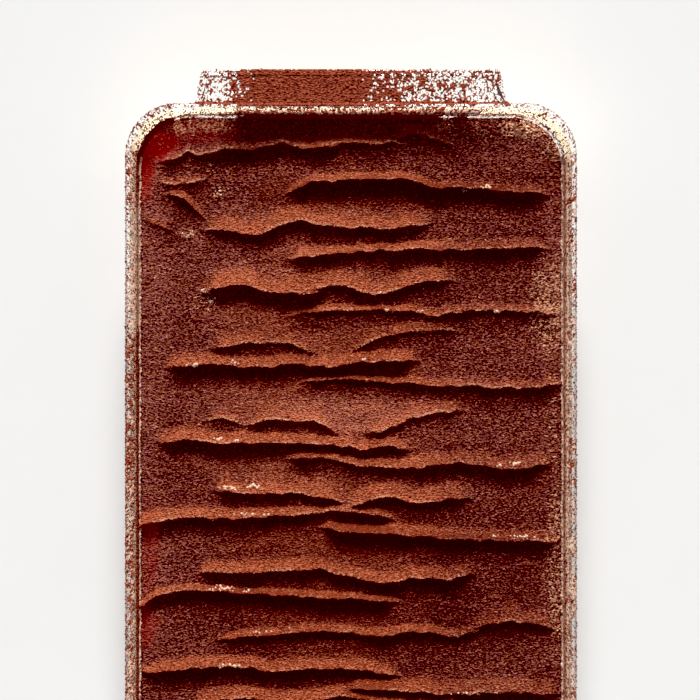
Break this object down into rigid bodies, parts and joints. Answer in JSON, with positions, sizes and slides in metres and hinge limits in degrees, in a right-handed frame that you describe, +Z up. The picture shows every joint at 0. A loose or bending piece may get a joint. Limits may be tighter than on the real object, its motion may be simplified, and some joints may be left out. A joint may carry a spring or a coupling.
{
  "type": "tiramisu in a glass baking dish",
  "caption": "Oblong clear glass dish with tab handles, filled with tiramisu whose spooned, ridged top is dusted with cocoa.",
  "frame": {"origin": "on the table, under the middle of the dish", "axes": "+X across the dish, +Y along it towards the end where the ridges start, +Z up"},
  "size_m": [0.228, 0.3672, 0.056],
  "materials": {
    "clear_glass": "clear, smooth, lightly dusted with cocoa on the rim and handle",
    "cocoa_dusted_cream": "dry, powdery, clumped cocoa over mascarpone cream",
    "cream": "soft mascarpone cream, as it shows through the glass and where the cocoa is thin"
  },
  "bodies": {
    "root": {"dish": "clear_glass", "tiramisu": "cocoa_dusted_cream"}
  },
  "joints": []
}
